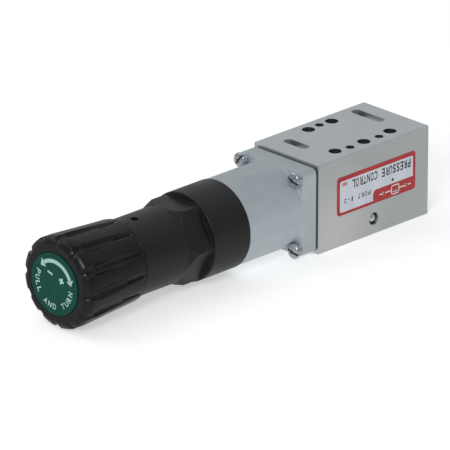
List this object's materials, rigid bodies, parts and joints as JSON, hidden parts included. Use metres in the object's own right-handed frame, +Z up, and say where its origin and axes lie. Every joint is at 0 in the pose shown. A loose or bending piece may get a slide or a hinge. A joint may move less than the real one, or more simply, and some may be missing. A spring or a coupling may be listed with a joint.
{
  "type": "sandwich pressure regulator",
  "caption": "Sandwich pressure regulator: drilled aluminium block, grey flanged spring housing, black bonnet with wrench hexagon, and a locking ribbed knob with a green cap.",
  "frame": {"origin": "centre of the block's lower mounting face", "axes": "+X along the regulator axis from the knob to the block's plain end, +Z up from the lower mounting face to the upper one, +Y towards the two-port side; the nameplate faces -Y"},
  "size_m": [0.1385, 0.0276, 0.0276],
  "materials": {
    "block_aluminium": "fine milled aluminium with sharp edges",
    "nameplate_print": "printed film, pale field with a red border",
    "bright_steel": "bright turned steel",
    "brass": "turned brass",
    "seal_rubber": "black nitrile rubber",
    "gasket_rubber": "dark fibre-filled rubber sheet",
    "spring_steel": "drawn spring wire, lightly oiled",
    "housing_paint": "die casting in light grey-green paint, satin",
    "screw_zinc": "bright zinc plate",
    "piston_aluminium": "turned aluminium",
    "black_nylon": "black glass-filled nylon, satin",
    "knob_plastic": "black moulded plastic, satin",
    "cap_green": "green disc with pale print"
  },
  "bodies": {
    "root": {"body_block": "block_aluminium", "nameplate": "nameplate_print", "ball_plug": "bright_steel", "seat_insert": "brass", "seat_o_rings": "seal_rubber", "end_plug": "bright_steel", "end_plug_o_ring": "seal_rubber", "housing_gasket": "gasket_rubber", "spring_housing": "housing_paint", "flange_screws": "screw_zinc", "bonnet": "black_nylon", "thrust_washer": "brass", "detent_ring": "spring_steel", "range_spring": "spring_steel", "valve_spring": "spring_steel"},
    "adjusting_screw": {"adjusting_screw": "bright_steel", "retaining_clip": "spring_steel"},
    "knob": {"knob": "knob_plastic", "knob_cap": "cap_green"},
    "spring_nut": {"spring_nut": "brass"},
    "piston": {"piston": "piston_aluminium", "piston_seal": "seal_rubber", "spring_rest": "bright_steel"},
    "poppet": {"poppet": "brass", "poppet_disc": "seal_rubber"}
  },
  "joints": [
    {"name": "screw_turn", "type": "hinge", "parent": "root", "child": "adjusting_screw", "pos_m": [-0.0828, 0, 0.0138], "axis": [1, 0, 0], "range_deg": [0, 2880.5]},
    {"name": "knob_push", "type": "slide", "parent": "adjusting_screw", "child": "knob", "axis": [1, 0, 0], "range_m": [0, 0.0025]},
    {"name": "nut_slide", "type": "slide", "parent": "root", "child": "spring_nut", "axis": [1, 0, 0], "range_m": [0, 0.008], "deforming": ["range_spring"]},
    {"name": "piston_slide", "type": "slide", "parent": "root", "child": "piston", "axis": [1, 0, 0], "range_m": [0, 0.0008], "stiffness_N_per_m": 1500},
    {"name": "poppet_slide", "type": "slide", "parent": "root", "child": "poppet", "axis": [1, 0, 0], "range_m": [0, 0.00081], "deforming": ["valve_spring"]}
  ],
  "couplings": [
    {"joint": "screw_turn", "follows": "nut_slide", "rad_per_m": 6283.2},
    {"joint": "poppet_slide", "follows": "piston_slide", "ratio": 1}
  ]
}
